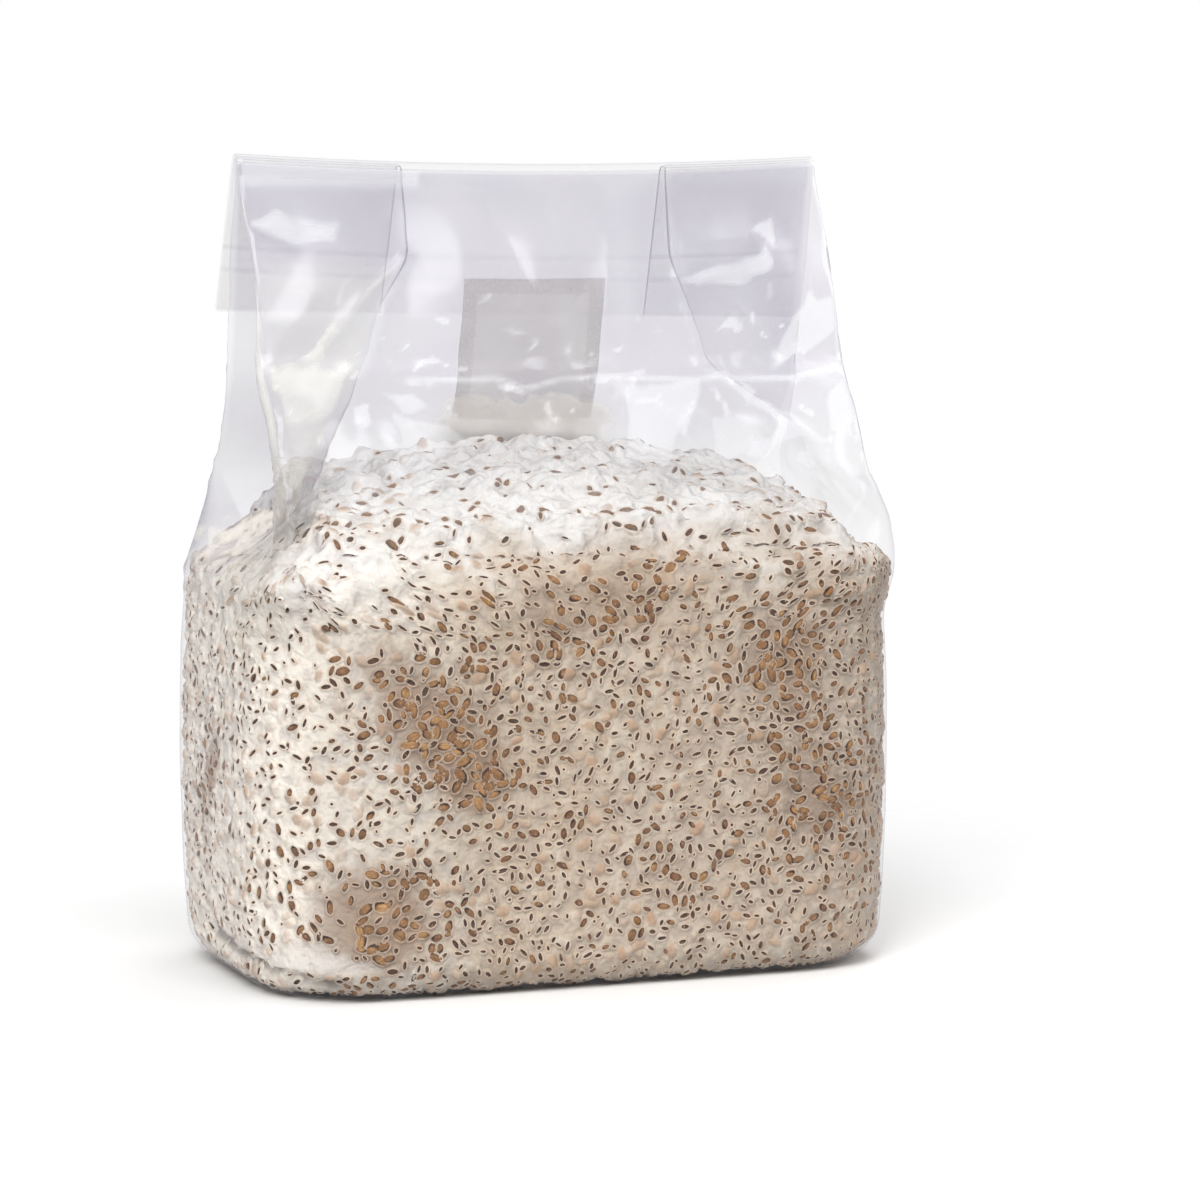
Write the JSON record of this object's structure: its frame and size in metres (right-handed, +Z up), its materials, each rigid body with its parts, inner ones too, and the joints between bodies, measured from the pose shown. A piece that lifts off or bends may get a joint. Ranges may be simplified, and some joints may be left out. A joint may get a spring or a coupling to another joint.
{
  "type": "grain spawn bag",
  "caption": "Clear gusseted film bag with a folded-over top and a breathing patch on its back, filled with a block of grain grown through with white mycelium.",
  "frame": {"origin": "middle of the flat base the bag stands on", "axes": "+Z up, -Y the way the front panel faces, +X to the bag's right seen from the front; the top is folded over towards +Y"},
  "size_m": [0.2268, 0.1368, 0.269],
  "materials": {
    "clear_film": "clear glossy film with a faint cool haze",
    "filter_membrane": "matt non-woven membrane",
    "colonised_grain": "matt white mycelium over brown grain"
  },
  "bodies": {
    "root": {"film_bag": "clear_film", "filter_patch": "filter_membrane", "grain_spawn": "colonised_grain"}
  },
  "joints": []
}
